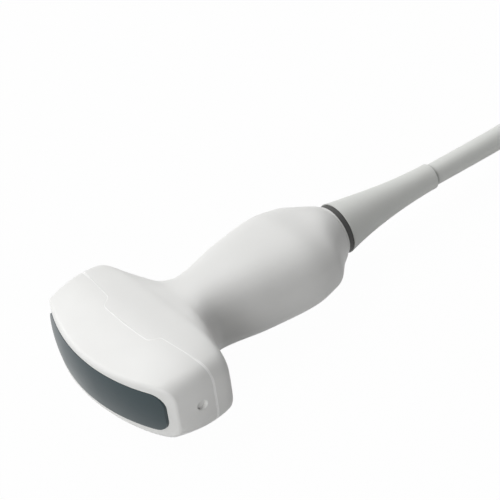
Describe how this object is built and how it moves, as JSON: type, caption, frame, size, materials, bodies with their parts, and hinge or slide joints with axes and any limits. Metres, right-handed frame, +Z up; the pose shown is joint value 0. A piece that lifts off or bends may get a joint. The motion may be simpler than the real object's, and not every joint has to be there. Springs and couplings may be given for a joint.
{
  "type": "ultrasound transducer probe",
  "caption": "Curved-array ultrasound probe with a wide head, dark acoustic lens, waisted handle, sealed cable with strain relief, folded lead and a console plug with a turning lock.",
  "frame": {"origin": "on the floor under the middle of the probe, measured without its cable and plug", "axes": "+X along the handle from the lens towards the cable, +Y across the head, +Z up through the probe's thickness"},
  "size_m": [0.3836, 0.0787, 0.04],
  "materials": {
    "housing": "satin moulded",
    "gasket": "matte",
    "lens": "satin silicone",
    "ring": "matte",
    "cable": "matte",
    "matching": "matte",
    "ceramic": "matte",
    "backing": "matte",
    "frame_metal": "satin",
    "flex": "gloss",
    "board": "gloss",
    "dark_plastic": "satin",
    "inner_plastic": "matte",
    "steel": "brushed",
    "brass": "satin",
    "wires": "gloss",
    "plug_plastic": "satin moulded"
  },
  "bodies": {
    "probe": {"nose_shell": "housing", "handle_upper_shell": "housing", "handle_lower_shell": "housing", "seam_gasket": "gasket", "rear_collar": "housing", "seal_ring": "ring", "strain_relief_boot": "cable", "acoustic_lens": "lens", "outer_matching_layer": "matching", "inner_matching_layer": "matching", "piezo_array": "ceramic", "backing_block": "backing", "array_frame": "frame_metal", "upper_flex_circuit": "flex", "lower_flex_circuit": "flex", "upper_signal_board": "board", "lower_signal_board": "board", "board_connectors": "dark_plastic", "board_carrier": "inner_plastic", "board_screws": "steel", "upper_cable_clamp": "inner_plastic", "lower_cable_clamp": "inner_plastic", "clamp_screws": "steel", "crimp_ferrule": "brass", "coax_bundle": "wires", "cable_tail": "cable", "cable_lead": "cable", "cable_hank": "cable", "hank_tie": "ring", "plug_lead": "cable", "plug_boot": "cable", "plug_cable_tail": "cable", "plug_clamp": "inner_plastic", "plug_wiring": "wires", "plug_lower_cover": "plug_plastic", "plug_upper_cover": "plug_plastic", "plug_screws": "steel", "plug_flange": "frame_metal", "contact_block": "dark_plastic", "contact_pads": "brass", "plug_board": "board", "shaft_bushes": "brass"},
    "lock": {"lock_shaft": "steel", "shaft_clip": "steel", "lock_knob": "dark_plastic", "knob_screw": "steel"}
  },
  "joints": [
    {"name": "lock_turn", "type": "hinge", "parent": "probe", "child": "lock", "pos_m": [0.25903, -0.0022, 0.02], "axis": [1, 0, 0], "range_deg": [0, 90]}
  ]
}
